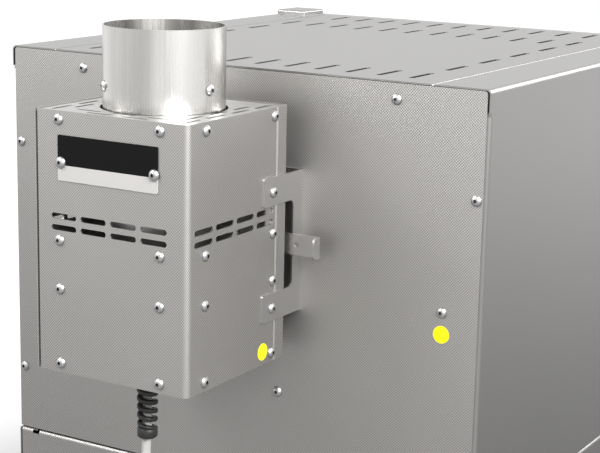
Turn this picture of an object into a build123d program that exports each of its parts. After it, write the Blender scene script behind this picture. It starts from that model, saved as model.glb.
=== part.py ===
"""A bench muffle furnace with a fan-assisted exhaust box on its rear wall.

Millimetres, +Z up. Z = 0 is the floor, the door faces -Y and the exhaust box stands off the rear wall at +Y.
X and Y are zero at the middle of the whole furnace. The sheet-metal housing holds an inner casing full of fibre
insulation around a ceramic-lined chamber. Left and right are as seen from the door.
"""

import math
import os

from build123d import *

# ---------------------------------------------------------------- driving dimensions
# Housing
body_w = 440.0  # across the side panels
body_d = 460.0  # front frame to rear panel
body_h = 520.0  # floor to the top cover
upper_h = 336.0  # hot upper housing
deck_t = 1.0  # deck between the two housings, seen as the seam
foot_h = 20.0
foot_r = 16.0
foot_inset = 45.0
sheet = 1.2  # housing sheet
panel_t = 1.5  # structured sheet of the rear panel and front frame
corner_r = 4.0  # outer bend of the large panels
fold_r = 1.6  # tight outer bend
fit_gap = 0.5  # gap between neighbouring sheets
return_w = 14.0  # return flanges
top_flange_w = 46.0  # top flange of a side panel
corner_notch = 17.0  # height of the open upper rear corner

# Ventilation slots in the top cover
vent_l = 37.0
vent_w = 4.6
vent_pitch = 27.2
vent_shift = 5.0  # the pattern's centre from the middle of the cover
vent_columns = 12
vent_row_pitch = 60.8
vent_rows = 6
vent_first = 40.0  # rear panel to the first row's centre
stagger_row = 13.7  # the offset front row, from the last row, is this much over one row pitch

# Chamber and insulation
chamber_w = 200.0
chamber_d = 170.0
chamber_h = 130.0
floor_t = 12.0
heater_t = 20.0
bottom_wool = 74.0
top_wool = 82.0
side_wool = 64.0
rear_wool = 80.0
collar_d = 45.0
mouth_flare = 11.0  # the mouth widens by this much each way towards the door
mouth_border = 13.0  # from the mouth to the opening of the front frame
casing_lift = 15.0  # air gap under the inner casing
frame_d = 15.0  # depth of the front frame

# Door
door_w = 400.0
door_h = 320.0
door_t = 50.0
door_gap = 3.0
door_lift = 4.0  # lower edge above the deck
door_corner_r = 3.0
door_edge_r = 2.4
air_slot_l = 18.0
air_slot_w = 5.0
air_pitch = 26.0
air_count = 3
air_bore_r = 4.0
air_drop = 32.0  # below the middle of the chamber
plug_reach = 25.0
plug_clear = 3.0
plug_taper = 14.0  # degrees
hinge_back = 13.0  # hinge axis behind the door's outer face
hinge_up = 10.0  # hinge axis above the door's lower edge
pin_r = 4.0
pin_play = 0.06
hinge_plate_t = 4.0
handle_r = 7.0
handle_l = 230.0
handle_reach = 38.0  # door face to the front of the bar
handle_drop = 30.0  # below the door's upper edge
post_r = 5.0
post_spread = 180.0

# Exhaust box, measured from the rear panel's outer face
box_x = 2.5
box_w = 135.0
box_h = 194.5
box_drop = 22.5  # top cover to the box's top plate
box_gap = 20.0
box_d = 130.0
box_bend_r = 5.0
strip_d = 15.5  # visible strip of the box's rear body
slot_l = 22.6
slot_w = 4.3
slot_pitch = 26.6
slot_rows_z = (-99.5, -108.0)  # below the top cover
tube_r = 45.0
tube_wall = 1.0
tube_top = 37.0  # above the top cover
tube_mouth = 38.0  # depth to which the exhaust pipe goes in
tube_y = 84.0
tube_clear = 2.0
tube_tuck = 28.0  # how far the chimney reaches into the box
duct_wall = 1.0
duct_drop = 39.0  # chimney's mouth to the top of the mixing duct
sleeve_wall = 1.3  # sleeve in the chimney that stops the exhaust pipe and takes the mixing duct
sleeve_play = 0.3
port_r = 22.5
exhaust_z = -130.0

# Screws
head_r = 4.3
head_h = 2.4
shank_r = 2.0
hole_r = 2.2
hex_r = 1.45
rear_screw_x = 145.0
rear_screw_inset = 8.0  # side screws from the edge of the housing
low_screw_x = 47.5
mid_screw_inset = 32.0
top_screw_drop = 13.5
side_screw_drops = (81.0, 280.0)
mid_screw_drop = 168.0
low_screw_drop = 255.0

# Cable to the fan
cable_r = 3.5
gland_y = 108.0

# Plain plate on the box
nameplate_w = 88.0
nameplate_h = 33.0
nameplate_t = 0.8

# ---------------------------------------------------------------- derived places
reach_front = body_d + door_gap + door_t + handle_reach
reach_rear = box_gap + box_d + nameplate_t + head_h
rear_y = (reach_front - reach_rear) / 2
front_y = rear_y - body_d
deck_z = body_h - upper_h
base_top = deck_z - deck_t
half_w = body_w / 2
rear_screw_side = half_w - rear_screw_inset
flange_x = half_w - top_flange_w

casing_front = front_y + frame_d + 1.0
casing_bottom = deck_z + casing_lift
wool_bottom = casing_bottom + sheet
floor_z = wool_bottom + bottom_wool + floor_t
chamber_z = floor_z + chamber_h / 2
wool_top = floor_z + chamber_h + top_wool
casing_top = wool_top + sheet
chamber_front = front_y + panel_t + collar_d
chamber_rear = chamber_front + chamber_d
wool_rear = chamber_rear + rear_wool
casing_rear = wool_rear + sheet
heater_x = chamber_w / 2
wool_inner = heater_x + heater_t
wool_side = wool_inner + side_wool
casing_side = wool_side + sheet

door_back = front_y - door_gap
door_face = door_back - door_t
door_low = deck_z + door_lift
door_high = door_low + door_h
hinge_y = door_face + hinge_back
hinge_z = door_low + hinge_up
air_z = chamber_z - air_drop
mouth_w = chamber_w + 2 * mouth_flare
mouth_h = chamber_h + 2 * mouth_flare

box_top = body_h - box_drop
box_low = box_top - box_h
box_back = rear_y + box_gap
box_face = box_back + box_d
box_left = box_x - box_w / 2
box_right = box_x + box_w / 2
seam_y = box_back + strip_d
tube_x = box_x
tube_centre = rear_y + tube_y
nameplate_x = box_x + 1.6
nameplate_z = body_h - 56.3
nameplate_holes = [(nameplate_x + dx, nameplate_z - 3.4) for dx in (-41.0, 41.3)]
port_z = body_h + exhaust_z


def front_view(y):
    """A sketch plane at y: +X to the right, +Z up, facing the door side."""
    return Plane((0, y, 0), x_dir=(1, 0, 0), z_dir=(0, -1, 0))


def side_view(x):
    """A sketch plane at x: +Y to the right, +Z up, facing +X."""
    return Plane.YZ.offset(x)


def plan_view(z):
    """A sketch plane at z: +X to the right, +Y up, facing up."""
    return Plane.XY.offset(z)


def bent_sheet(plane, points, radius, side, thick=sheet):
    """The section of a folded sheet: its outer line with bends of the given radius, and its thickness to one side."""
    with BuildSketch(plane) as section:
        with BuildLine():
            FilletPolyline(*points, radius=radius)
            offset(amount=thick, side=side)
        make_face()
    return section.sketch


def centred(count, pitch):
    """Positions of a centred row."""
    return [(i - (count - 1) / 2) * pitch for i in range(count)]


def finish(builder, name):
    """Names a finished sub-part and writes it."""
    builder.part.label = name
    export_step(builder.part, f"parts/{name}.step")


os.makedirs("parts", exist_ok=True)

# ---------------------------------------------------------------- screw, used in groups
with BuildPart() as screw:
    with BuildSketch(Plane.XZ):
        with BuildLine():
            Line((0, head_h), (hex_r, head_h))
            ThreePointArc((hex_r, head_h), (head_r * 0.8, head_h * 0.62), (head_r, 0))
            Polyline((head_r, 0), (shank_r, 0), (shank_r, -3.2), (0, -3.2), (0, head_h))
        make_face()
    revolve(axis=Axis.Z)
    with BuildSketch(Plane.XY.offset(head_h)):
        RegularPolygon(hex_r, 6)
    extrude(amount=-1.3, mode=Mode.SUBTRACT)


def rear_facing(x, y, z):
    """Where a screw sits on a face that looks to the rear."""
    return Plane((x, y, z), z_dir=(0, 1, 0))


# ---------------------------------------------------------------- lower housing
with BuildPart() as base_pan:
    outline = [
        (half_w - 20, base_top),
        (half_w, base_top),
        (half_w, foot_h),
        (-half_w, foot_h),
        (-half_w, base_top),
        (-half_w + 20, base_top),
    ]
    extrude(bent_sheet(front_view(rear_y - sheet - 0.3), outline, 3.0, Side.RIGHT), amount=body_d - sheet - panel_t - 0.6)
    with BuildSketch(plan_view(foot_h)):
        with Locations((0, -40)):
            with GridLocations(28, 0, 9, 1):
                SlotOverall(90, 5, rotation=90)
    extrude(amount=sheet, mode=Mode.SUBTRACT)
finish(base_pan, "base_pan")

with BuildPart() as base_deck:
    with BuildSketch(plan_view(base_top)):
        with Locations((0, rear_y - body_d / 2)):
            RectangleRounded(body_w - 8, body_d - 8, 3)
    extrude(amount=deck_t)
finish(base_deck, "base_deck")

socket_x = half_w - 127.0
socket_z = 104.0
socket_r = 8.0
inlet_x = -half_w + 100.0
inlet_z = 80.0
inlet_w = 48.0
inlet_h = 28.0
fuse_x = inlet_x + 60.0
fuse_r = 6.5
seam_slot_x = half_w - 19.0
base_screws = [(x, z) for x in (-half_w + 10, half_w - 10) for z in (45.0, 140.0)]
pan_flange = 20.0  # width of the pan's upper flanges
pan_floor = foot_h + sheet
base_lip = 12.0


def trim_base_lips(y, inward, thick):
    """Cuts a base panel's upper lip back to between the pan's flanges, and its lower lip to between the pan's walls."""
    depth = inward * (base_lip + 1)
    clear = inward * (thick + 0.1)
    for z, inner in ((base_top, half_w - pan_flange - 1), (pan_floor, half_w - 4)):
        with BuildSketch(front_view(y + clear)) as cut:
            with Locations((-inner - 20, z), (inner + 20, z)):
                Rectangle(40, 8)
        extrude(cut.sketch, amount=-depth, mode=Mode.SUBTRACT)


with BuildPart() as base_rear_panel:
    lip = [
        (rear_y - base_lip, base_top),
        (rear_y, base_top),
        (rear_y, pan_floor + 0.2),
        (rear_y - base_lip, pan_floor + 0.2),
    ]
    extrude(bent_sheet(side_view(-half_w + 3.4), lip, 3.0, Side.RIGHT), amount=body_w - 6.8)
    trim_base_lips(rear_y, -1, sheet)
    with BuildSketch(front_view(rear_y)):
        with Locations((-seam_slot_x, base_top), (seam_slot_x, base_top)):
            Rectangle(7.2, 7.6)
        with Locations((socket_x, socket_z)):
            Circle(socket_r)
        with Locations((inlet_x, inlet_z)):
            RectangleRounded(inlet_w, inlet_h, 3)
        with Locations((fuse_x, inlet_z + 9), (fuse_x, inlet_z - 9)):
            Circle(fuse_r)
        with Locations(*base_screws):
            Circle(hole_r)
        with Locations((0, 66)):
            with GridLocations(0, 9, 1, 5):
                SlotOverall(56, 3.6)
    extrude(amount=base_lip + 1, both=True, mode=Mode.SUBTRACT)
finish(base_rear_panel, "base_rear_panel")

knob_x, knob_z = half_w - 44.0, 100.0
key_x = knob_x - 26.0
display_x, display_z = key_x - 52.0, 104.0
display_w, display_h = 74.0, 56.0
key_pitch = 26.0
rocker_x, rocker_z = -half_w + 60.0, 104.0
rocker_w, rocker_h = 22.0, 30.0
with BuildPart() as control_panel:
    lip = [
        (front_y + base_lip, base_top),
        (front_y, base_top),
        (front_y, pan_floor + 0.2),
        (front_y + base_lip, pan_floor + 0.2),
    ]
    extrude(bent_sheet(side_view(-half_w + 0.4), lip, 3.0, Side.LEFT, panel_t), amount=body_w - 0.8)
    trim_base_lips(front_y, 1, panel_t)
    with BuildSketch(front_view(front_y)):
        with Locations((display_x, display_z)):
            Rectangle(display_w, display_h)
        with Locations((knob_x, knob_z)):
            Circle(4.4)
        with Locations((key_x, display_z + key_pitch / 2), (key_x, display_z - key_pitch / 2)):
            Circle(5.3)
        with Locations((rocker_x, rocker_z)):
            Rectangle(rocker_w, rocker_h)
    extrude(amount=base_lip + 1, both=True, mode=Mode.SUBTRACT)
finish(control_panel, "control_panel")

with BuildPart() as feet:
    with BuildSketch(plan_view(foot_h)):
        with Locations((0, rear_y - body_d / 2)):
            with GridLocations(body_w - 2 * foot_inset, body_d - 2 * foot_inset, 2, 2):
                Circle(foot_r)
    extrude(amount=-foot_h, taper=6)
finish(feet, "feet")

# ---------------------------------------------------------------- upper housing
rear_screws = [
    *[(x, body_h - top_screw_drop) for x in (rear_screw_x, -rear_screw_x)],
    *[(x, body_h - drop) for drop in side_screw_drops for x in (rear_screw_side, -rear_screw_side)],
    *[(x, body_h - low_screw_drop) for x in (low_screw_x, -low_screw_x)],
    (-half_w + mid_screw_inset, body_h - mid_screw_drop),
]
with BuildPart() as side_panel_right:
    wall_plan = [
        (half_w - return_w, rear_y - panel_t),
        (half_w, rear_y - panel_t),
        (half_w, front_y + frame_d),
        (half_w - return_w, front_y + frame_d),
    ]
    extrude(bent_sheet(plan_view(deck_z), wall_plan, 3.0, Side.RIGHT), amount=upper_h - corner_notch)
    hood = [
        (flange_x, body_h - 14),
        (flange_x, body_h),
        (half_w, body_h),
        (half_w, body_h - corner_notch - 3),
    ]
    extrude(
        bent_sheet(front_view(rear_y), hood, [fold_r, corner_r], Side.RIGHT),
        amount=body_d - frame_d,
    )
    with BuildSketch(front_view(rear_y)):
        with Locations((half_w - 10, body_h - corner_notch - 1.5)):
            Rectangle(20.5, 3.2)
    extrude(amount=-panel_t - fit_gap, both=True, mode=Mode.SUBTRACT)
    with BuildSketch(front_view(rear_y)):
        with Locations((flange_x, body_h - sheet - 10)):
            Rectangle(8, 20)
    extrude(amount=-panel_t - fit_gap, both=True, mode=Mode.SUBTRACT)
    with BuildSketch(plan_view(deck_z)):
        with Locations((half_w - sheet - 8, rear_y - body_d / 2)):
            Rectangle(16, body_d - 60)
    extrude(amount=sheet)
    with BuildSketch(front_view(rear_y - panel_t)):
        with Locations(*[(x, z) for x, z in rear_screws if x == rear_screw_side]):
            Circle(hole_r)
    extrude(amount=2 * sheet, mode=Mode.SUBTRACT)
finish(side_panel_right, "side_panel_right")

with BuildPart() as side_panel_left:
    mirror(side_panel_right.part, about=Plane.YZ)
finish(side_panel_left, "side_panel_left")

cover_half = flange_x - fit_gap
cover_front = front_y + frame_d
with BuildPart() as top_cover:
    skirt = [(-cover_half, body_h - 14), (-cover_half, body_h), (cover_half, body_h), (cover_half, body_h - 14)]
    extrude(bent_sheet(front_view(rear_y), skirt, fold_r, Side.RIGHT), amount=body_d - frame_d)
    with BuildSketch(plan_view(body_h)):
        edge_x = [vent_shift + x for x in centred(vent_columns, vent_pitch)]
        rows_y = [rear_y - vent_first - i * vent_row_pitch for i in range(vent_rows)]
        stagger_y = rows_y[-1] - vent_row_pitch - stagger_row
        with Locations(
            *[(x, y) for x in edge_x for y in (rows_y[0], rows_y[-1])],
            *[(x, y) for x in (edge_x[0], edge_x[-1]) for y in rows_y[1:-1]],
            *[(vent_shift + x, stagger_y) for x in centred(vent_columns - 1, vent_pitch)],
        ):
            SlotOverall(vent_l, vent_w, rotation=90)
    extrude(amount=-2 * sheet, mode=Mode.SUBTRACT)
    # the folds stop short of the rear panel, and the skin runs out over its upper edge
    with BuildSketch(front_view(rear_y)):
        with Locations((0, body_h - sheet - 10)):
            Rectangle(2 * flange_x, 20)
    extrude(amount=-panel_t - fit_gap, both=True, mode=Mode.SUBTRACT)
finish(top_cover, "top_cover")

panel_low = deck_z + 0.6
panel_high = body_h - sheet - 0.4
panel_half = half_w - 2.8
with BuildPart() as rear_panel:
    with BuildSketch(front_view(rear_y)):
        with Locations((0, (panel_low + panel_high) / 2)):
            RectangleRounded(2 * panel_half, panel_high - panel_low, 2.5)
        with Locations(*rear_screws):
            Circle(hole_r, mode=Mode.SUBTRACT)
        with Locations((0, port_z)):
            Circle(port_r, mode=Mode.SUBTRACT)
    extrude(amount=panel_t)
finish(rear_panel, "rear_panel")

with BuildPart() as front_frame:
    with BuildSketch(front_view(front_y)):
        with Locations((0, deck_z + upper_h / 2)):
            RectangleRounded(body_w, upper_h - 0.6, 3)
    extrude(amount=-frame_d)
    offset(amount=-panel_t, openings=front_frame.faces().sort_by(Axis.Y)[-1])
    with BuildSketch(front_view(front_y)):
        with Locations((0, chamber_z)):
            RectangleRounded(mouth_w + 2 * mouth_border, mouth_h + 2 * mouth_border, 6)
    extrude(amount=-panel_t, mode=Mode.SUBTRACT)
finish(front_frame, "front_frame")

cap_w = 34.0
cap_d = 40.0
cap_h = 4.5
with BuildPart() as corner_caps:
    for sign in (-1, 1):
        with BuildSketch(plan_view(body_h)):
            with Locations((sign * (half_w - cap_w / 2 - 0.6), front_y + cap_d / 2 + 0.4)):
                Rectangle(cap_w, cap_d)
        extrude(amount=cap_h)
    fillet(corner_caps.edges().filter_by(Axis.Z), 2.0)
    fillet(corner_caps.faces().filter_by(Axis.Z).group_by(Axis.Z)[-1].edges(), 2.0)
finish(corner_caps, "corner_caps")

# ---------------------------------------------------------------- inner casing, insulation and chamber
with BuildPart() as inner_casing:
    with BuildSketch(front_view(casing_rear)):
        with Locations((0, (casing_bottom + casing_top) / 2)):
            Rectangle(2 * casing_side, casing_top - casing_bottom)
    extrude(amount=casing_rear - casing_front)
    offset(amount=-sheet, openings=inner_casing.faces().sort_by(Axis.Y)[0])
    lead_x = heater_x + 6.5
    lead_z = (floor_z + 12, floor_z + chamber_h - 12)
    probe_x, probe_z = 45.0, floor_z + chamber_h - 24
    with BuildSketch(front_view(casing_rear)):
        with Locations((0, port_z)):
            Circle(18.2)
        with Locations(*[(s * lead_x, z) for s in (-1, 1) for z in lead_z]):
            Circle(4)
        with Locations((probe_x, probe_z)):
            Circle(4)
    extrude(amount=sheet * 2, mode=Mode.SUBTRACT)
    # two channels on the deck carry the casing
    with BuildSketch(front_view(casing_front + 20)):
        for sign in (-1, 1):
            with BuildLine():
                x0 = sign * (casing_side - 60)
                Polyline(
                    (x0 - 24, deck_z),
                    (x0 - 24, deck_z + sheet),
                    (x0 - 12, deck_z + sheet),
                    (x0 - 12, casing_bottom),
                    (x0 + 12, casing_bottom),
                    (x0 + 12, deck_z + sheet),
                    (x0 + 24, deck_z + sheet),
                    (x0 + 24, deck_z),
                    (x0 + 12 - sheet, deck_z),
                    (x0 + 12 - sheet, casing_bottom - sheet),
                    (x0 - 12 + sheet, casing_bottom - sheet),
                    (x0 - 12 + sheet, deck_z),
                    (x0 - 24, deck_z),
                )
            make_face()
    extrude(amount=-(casing_rear - casing_front - 40))
finish(inner_casing, "inner_casing")


def wool_block(x0, x1, y0, y1, z0, z1):
    """The section of a straight insulation block, and its depth, for an extrude towards the rear."""
    with BuildSketch(front_view(y0)) as block:
        with Locations(((x0 + x1) / 2, (z0 + z1) / 2)):
            Rectangle(x1 - x0, z1 - z0)
    return block.sketch, -(y1 - y0)


collar_front = front_y + panel_t
slab_front = chamber_front
bottom_top = floor_z - floor_t
roof_low = floor_z + chamber_h
with BuildPart() as insulation_bottom:
    section, depth = wool_block(-wool_side, wool_side, slab_front, wool_rear, wool_bottom, bottom_top)
    extrude(section, amount=depth)
finish(insulation_bottom, "insulation_bottom")

with BuildPart() as insulation_top:
    section, depth = wool_block(-wool_side, wool_side, slab_front, wool_rear, roof_low, wool_top)
    extrude(section, amount=depth)
finish(insulation_top, "insulation_top")

with BuildPart() as insulation_sides:
    section, depth = wool_block(wool_inner, wool_side, slab_front, wool_rear, bottom_top, roof_low)
    extrude(section, amount=depth)
    mirror(about=Plane.YZ)
finish(insulation_sides, "insulation_sides")

liner_r = 17.5
with BuildPart() as insulation_rear:
    section, depth = wool_block(-wool_inner, wool_inner, chamber_rear, wool_rear, bottom_top, roof_low)
    extrude(section, amount=depth)
    with BuildSketch(front_view(chamber_rear)):
        with Locations((0, port_z)):
            Circle(liner_r)
        with Locations(*[(s * lead_x, z) for s in (-1, 1) for z in lead_z]):
            Circle(3.2)
        with Locations((probe_x, probe_z)):
            Circle(3.2)
    extrude(amount=-rear_wool, mode=Mode.SUBTRACT)
finish(insulation_rear, "insulation_rear")

with BuildPart() as chamber_collar:
    section, depth = wool_block(-wool_side, wool_side, collar_front, chamber_front, wool_bottom, wool_top)
    extrude(section, amount=depth)
    with BuildSketch(front_view(collar_front)):
        with Locations((0, chamber_z)):
            Rectangle(mouth_w, mouth_h)
    with BuildSketch(front_view(chamber_front)):
        with Locations((0, chamber_z)):
            Rectangle(chamber_w, chamber_h)
    loft(mode=Mode.SUBTRACT)
finish(chamber_collar, "chamber_collar")

with BuildPart() as floor_plate:
    with BuildSketch(front_view(chamber_front)):
        with Locations((0, floor_z - floor_t / 2)):
            Rectangle(chamber_w - 1, floor_t)
    extrude(amount=-chamber_d)
    fillet(floor_plate.faces().sort_by(Axis.Z)[-1].edges().filter_by(Axis.Y), 1.0)
finish(floor_plate, "floor_plate")

wire_r = 2.2
wire_passes = 8
wire_pitch = (lead_z[1] - lead_z[0]) / (wire_passes - 1)
wire_bend = wire_pitch / 2 - 0.01


def heating_path():
    """The heating wire's line: it comes in from the rear, runs to and fro and leaves to the rear again."""
    near, far = chamber_front + 12, chamber_rear - 12
    points = [(wool_rear + 14, lead_z[0])]
    for i in range(wire_passes):
        z = lead_z[0] + i * wire_pitch
        ends = (near,) if i == 0 else ((near, far) if i % 2 else (far, near))
        if i == wire_passes - 1:
            ends = (near,)
        points += [(y, z) for y in ends]
    points.append((wool_rear + 14, lead_z[1]))
    return points


with BuildPart() as heating_wires:
    with BuildLine(side_view(lead_x)) as wire_line:
        FilletPolyline(*heating_path(), radius=wire_bend)
    with BuildSketch(Plane(origin=wire_line.line @ 0, z_dir=wire_line.line % 0)):
        Circle(wire_r)
    sweep()
    mirror(about=Plane.YZ)
finish(heating_wires, "heating_wires")

with BuildPart() as heating_plates:
    section, depth = wool_block(heater_x, wool_inner - 0.2, chamber_front, chamber_rear, bottom_top, roof_low)
    extrude(section, amount=depth)
    # a groove round each pass, open to the chamber
    with BuildSketch(side_view(heater_x)):
        with BuildLine():
            FilletPolyline(*heating_path(), radius=wire_bend)
        trace(line_width=2 * wire_r + 1.2)
    extrude(amount=lead_x - heater_x + wire_r + 0.6, mode=Mode.SUBTRACT)
    mirror(about=Plane.YZ)
finish(heating_plates, "heating_plates")

with BuildPart() as terminal_blocks:
    for sign in (-1, 1):
        with BuildSketch(front_view(casing_rear)):
            with Locations(*[(sign * lead_x, z) for z in lead_z]):
                RectangleRounded(22, 22, 2)
                Circle(2.4, mode=Mode.SUBTRACT)
        extrude(amount=-18)
finish(terminal_blocks, "terminal_blocks")

with BuildPart() as thermocouple:
    with BuildSketch(front_view(chamber_rear - 30)):
        with Locations((probe_x, probe_z)):
            Circle(3)
    extrude(amount=-(casing_rear + 8 - chamber_rear + 30))
    with BuildSketch(front_view(casing_rear)):
        with Locations((probe_x, probe_z)):
            RectangleRounded(26, 20, 4)
    extrude(amount=-22)
finish(thermocouple, "thermocouple")

with BuildPart() as exhaust_liner:
    with BuildSketch(front_view(chamber_rear)):
        with Locations((0, port_z)):
            Circle(liner_r - 0.2)
            Circle(liner_r - 5, mode=Mode.SUBTRACT)
    extrude(amount=-(rear_y - panel_t - chamber_rear))
finish(exhaust_liner, "exhaust_liner")

# ---------------------------------------------------------------- door
with BuildPart() as door_shell:
    with BuildSketch(front_view(door_back)):
        with Locations((0, (door_low + door_high) / 2)):
            RectangleRounded(door_w, door_h, door_corner_r)
    extrude(amount=door_t)
    fillet(door_shell.faces().sort_by(Axis.Y)[0].edges(), door_edge_r)
    with BuildSketch(front_view(door_back)):
        with Locations((0, (door_low + door_high) / 2)):
            RectangleRounded(door_w - 2 * sheet, door_h - 2 * sheet, door_corner_r - sheet)
    extrude(amount=door_t - sheet, mode=Mode.SUBTRACT)
    with BuildSketch(side_view(0)):
        with Locations((hinge_y, hinge_z)):
            Circle(pin_r + pin_play)
    extrude(amount=door_w, both=True, mode=Mode.SUBTRACT)
    with BuildSketch(front_view(door_face)):
        with Locations((0, air_z)):
            with GridLocations(air_pitch, 0, air_count, 1):
                SlotOverall(air_slot_l, air_slot_w, rotation=90)
    extrude(amount=-sheet, mode=Mode.SUBTRACT)
    # two guides hold the air slide
    for sign in (-1, 1):
        edge = air_z + sign * 16.3
        with BuildSketch(side_view(-56)):
            with BuildLine():
                Polyline(
                    (door_face, edge + sign * 7),
                    (door_face - 1.2, edge + sign * 7),
                    (door_face - 1.2, edge + sign * 1.2),
                    (door_face - 3.4, edge + sign * 1.2),
                    (door_face - 3.4, edge - sign * 3),
                    (door_face - 2.2, edge - sign * 3),
                    (door_face - 2.2, edge),
                    (door_face, edge),
                    (door_face, edge + sign * 7),
                )
            make_face()
        extrude(amount=112)
finish(door_shell, "door_shell")

plug_w = mouth_w - 2 * plug_clear
plug_h = mouth_h - 2 * plug_clear
bush_l = 13.0
bush_s = 20.0
with BuildPart() as door_insulation:
    with BuildSketch(front_view(door_back - sheet - 0.3)):
        with Locations((0, (door_low + door_high) / 2)):
            RectangleRounded(door_w - 2 * sheet - 1, door_h - 2 * sheet - 1, 2)
    extrude(amount=door_t - 2 * sheet - 0.6)
    with BuildSketch(front_view(door_back - sheet - 0.3)):
        with Locations((0, chamber_z)):
            Rectangle(plug_w, plug_h)
    extrude(amount=-(plug_reach + door_gap + sheet + 0.3), taper=plug_taper)
    with BuildSketch(front_view(door_back)):
        with Locations((-(door_w - bush_s) / 2, door_low + bush_s / 2), ((door_w - bush_s) / 2, door_low + bush_s / 2)):
            Rectangle(bush_s + 14, bush_s + 12)
    extrude(amount=door_t, mode=Mode.SUBTRACT)
    with BuildSketch(front_view(door_face)):
        with Locations((0, air_z)):
            with GridLocations(air_pitch, 0, air_count, 1):
                Circle(air_bore_r)
    extrude(amount=-door_t - door_gap - plug_reach - sheet, mode=Mode.SUBTRACT)
finish(door_insulation, "door_insulation")

with BuildPart() as door_liner:
    with BuildSketch(front_view(door_back)):
        with Locations((0, (door_low + door_high) / 2)):
            RectangleRounded(door_w - 2 * sheet - 0.4, door_h - 2 * sheet - 0.4, 1.6)
        with Locations((0, chamber_z)):
            Rectangle(plug_w + 1, plug_h + 1, mode=Mode.SUBTRACT)
    extrude(amount=sheet)
finish(door_liner, "door_liner")

with BuildPart() as door_hinge_bushes:
    for sign in (-1, 1):
        with BuildSketch(side_view(sign * (door_w / 2 - sheet - 0.1))):
            with Locations((hinge_y + 2, hinge_z + 1)):
                RectangleRounded(bush_s, bush_s - 3, 3)
            with Locations((hinge_y, hinge_z)):
                Circle(pin_r + pin_play, mode=Mode.SUBTRACT)
        extrude(amount=-sign * bush_l)
finish(door_hinge_bushes, "door_hinge_bushes")

pin_inner = door_w / 2 - sheet - 0.1 - bush_l + 1
plate_inner = door_w / 2 + 1.5
with BuildPart() as hinge_brackets:
    for sign in (-1, 1):
        with BuildSketch(side_view(sign * plate_inner)):
            with BuildLine():
                Polyline(
                    (hinge_y, hinge_z + 12),
                    (front_y - 8, hinge_z + 26),
                    (front_y, hinge_z + 26),
                    (front_y, hinge_z - 12),
                    (hinge_y, hinge_z - 12),
                )
                ThreePointArc((hinge_y, hinge_z - 12), (hinge_y - 12, hinge_z), (hinge_y, hinge_z + 12))
            make_face()
            with Locations((hinge_y, hinge_z)):
                Circle(pin_r, mode=Mode.SUBTRACT)
        extrude(amount=sign * hinge_plate_t)
        with BuildSketch(side_view(sign * plate_inner)):
            with Locations((front_y - 1.5, hinge_z + 7)):
                Rectangle(3, 38)
        extrude(amount=sign * 16)
    for sign in (-1, 1):
        with BuildSketch(side_view(sign * pin_inner)):
            with Locations((hinge_y, hinge_z)):
                Circle(pin_r)
        extrude(amount=sign * (plate_inner + hinge_plate_t - pin_inner))
        with BuildSketch(side_view(sign * (plate_inner + hinge_plate_t))):
            with Locations((hinge_y, hinge_z)):
                Circle(pin_r + 2)
        extrude(amount=sign * 2)
finish(hinge_brackets, "hinge_brackets")

handle_y = door_face - handle_reach + handle_r
handle_z = door_high - handle_drop
with BuildPart() as door_handle:
    with BuildSketch(side_view(-handle_l / 2)):
        with Locations((handle_y, handle_z)):
            Circle(handle_r)
    extrude(amount=handle_l)
    fillet(door_handle.edges().filter_by(GeomType.CIRCLE), 2)
    with BuildSketch(front_view(door_face)):
        with Locations((-post_spread / 2, handle_z), (post_spread / 2, handle_z)):
            Circle(post_r)
    extrude(amount=handle_reach - handle_r)
finish(door_handle, "door_handle")

slide_travel = 12.0
air_plate_t = 1.5
with BuildPart() as air_slide:
    with BuildSketch(front_view(door_face - 0.3)):
        with Locations((0, air_z)):
            RectangleRounded(96, 32, 4)
            with GridLocations(air_pitch, 0, air_count, 1):
                SlotOverall(air_slot_l, air_slot_w, rotation=90, mode=Mode.SUBTRACT)
    extrude(amount=air_plate_t)
    with BuildSketch(front_view(door_face - 0.3 - air_plate_t)):
        with Locations((40, air_z)):
            Circle(5)
    extrude(amount=9, taper=4)
finish(air_slide, "air_slide")

# ---------------------------------------------------------------- controls
with BuildPart() as display_unit:
    with BuildSketch(front_view(front_y)):
        with Locations((display_x, display_z)):
            RectangleRounded(display_w + 8, display_h + 8, 4)
    extrude(amount=2.0)
    with BuildSketch(front_view(front_y)):
        with Locations((display_x, display_z)):
            Rectangle(display_w - 0.6, display_h - 0.6)
    extrude(amount=-38)
    with BuildSketch(front_view(front_y - 2.0)):
        with Locations((display_x, display_z + 3)):
            Rectangle(62, 40)
    extrude(amount=-1.4, mode=Mode.SUBTRACT)
finish(display_unit, "display_unit")

with BuildPart() as display_glass:
    with BuildSketch(front_view(front_y - 0.6)):
        with Locations((display_x, display_z + 3)):
            Rectangle(61.8, 39.8)
    extrude(amount=1.0)
finish(display_glass, "display_glass")

knob_h = 15.0
with BuildPart() as jog_knob:
    with BuildSketch(front_view(front_y - 0.6)):
        with Locations((knob_x, knob_z)):
            Circle(13)
            with PolarLocations(13.4, 20):
                Circle(0.9, mode=Mode.SUBTRACT)
    extrude(amount=knob_h, taper=2)
    fillet(jog_knob.faces().sort_by(Axis.Y)[0].edges(), 0.8)
    with BuildSketch(front_view(front_y - 0.6)):
        with Locations((knob_x, knob_z)):
            Circle(4.35)
    extrude(amount=-12)
finish(jog_knob, "jog_knob")

key_h = 3.0
for name, z in (("start_key", display_z + key_pitch / 2), ("stop_key", display_z - key_pitch / 2)):
    with BuildPart() as key:
        with BuildSketch(front_view(front_y + 6)):
            with Locations((key_x, z)):
                Circle(5.0)
        extrude(amount=6 + key_h)
        fillet(key.faces().sort_by(Axis.Y)[0].edges(), 0.8)
        with BuildSketch(front_view(front_y + 6)):
            with Locations((key_x, z)):
                Circle(6.2)
        extrude(amount=2)
    finish(key, name)

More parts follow.
